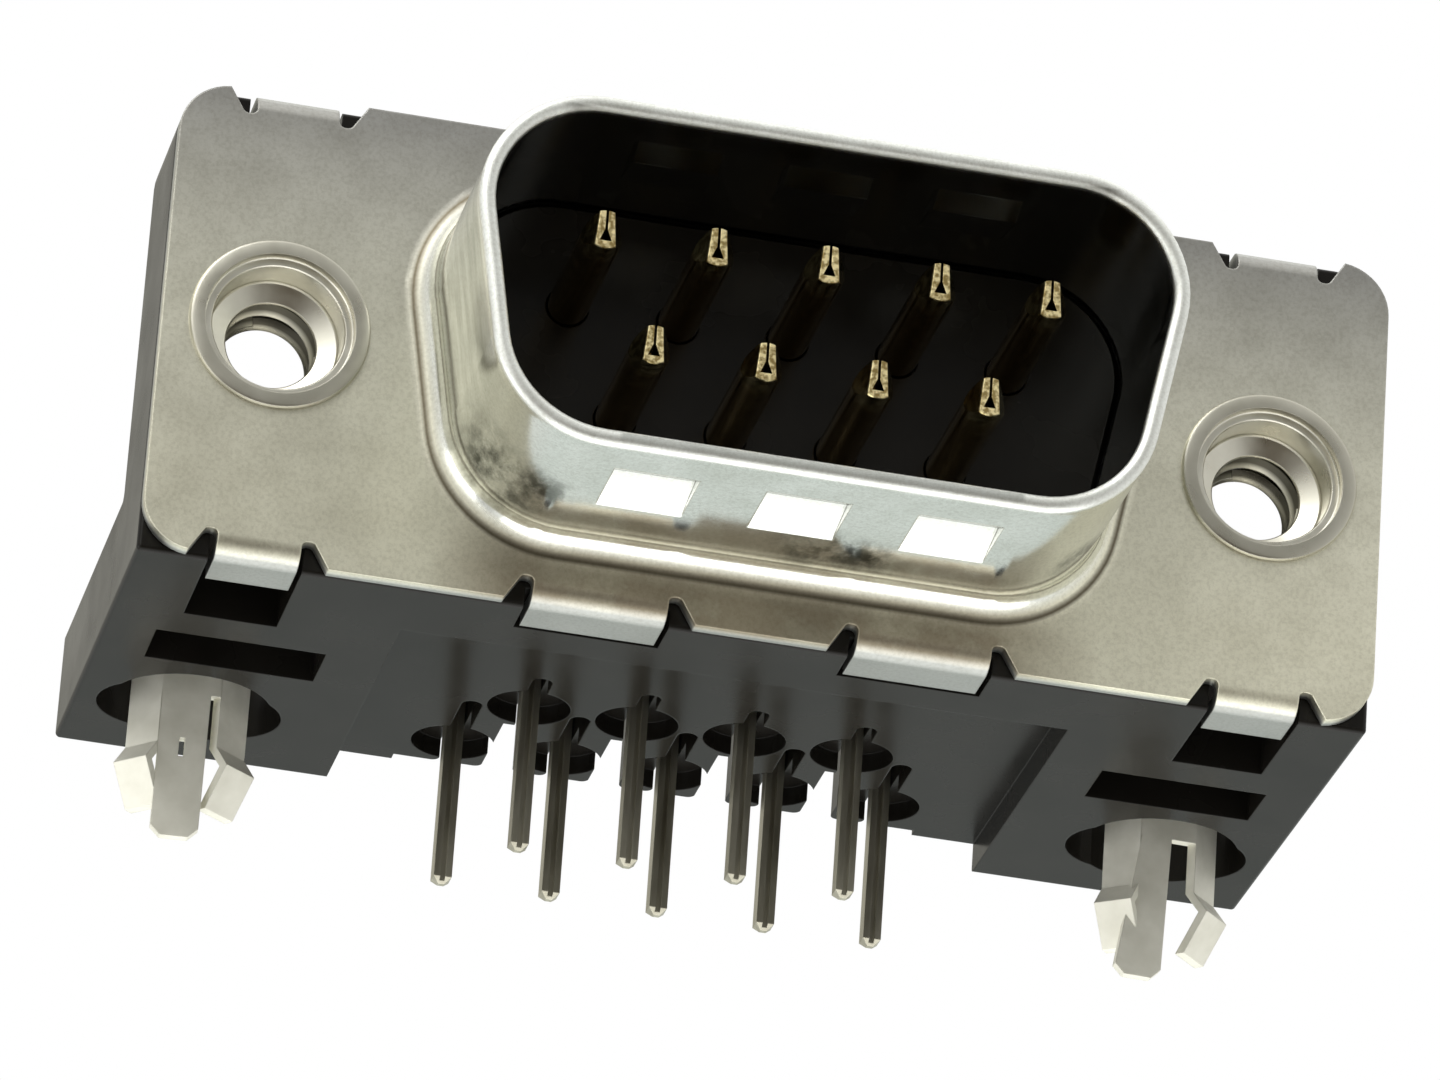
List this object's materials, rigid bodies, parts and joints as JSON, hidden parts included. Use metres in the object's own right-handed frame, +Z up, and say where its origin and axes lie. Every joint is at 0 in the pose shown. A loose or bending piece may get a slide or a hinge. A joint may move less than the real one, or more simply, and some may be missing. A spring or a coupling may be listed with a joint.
{
  "type": "d-sub connector",
  "caption": "Right-angle D connector with pins for a circuit board: plated steel shroud and flange with screw inserts, black housing, bent tails and barbed board locks.",
  "frame": {"origin": "on the seating plane of the circuit board, midway between the two board locks", "axes": "+X to the right when the mating face is looked at, -Y out of the mating face, +Z up and away from the board"},
  "size_m": [0.0308, 0.0186, 0.0161],
  "materials": {
    "shell_plating": "satin plating over steel sheet",
    "black_plastic": "moulded, satin gloss",
    "contact_gold": "thin gold plating, duller on the tails",
    "insert_plating": "plated, turned",
    "lock_plating": "tin plating, satin"
  },
  "bodies": {
    "root": {"front_shell": "shell_plating", "housing": "black_plastic", "contact_1": "contact_gold", "contact_2": "contact_gold", "contact_3": "contact_gold", "contact_4": "contact_gold", "contact_5": "contact_gold", "contact_6": "contact_gold", "contact_7": "contact_gold", "contact_8": "contact_gold", "contact_9": "contact_gold", "threaded_insert_left": "insert_plating", "threaded_insert_right": "insert_plating", "board_lock_left": "lock_plating", "board_lock_right": "lock_plating"}
  },
  "joints": []
}
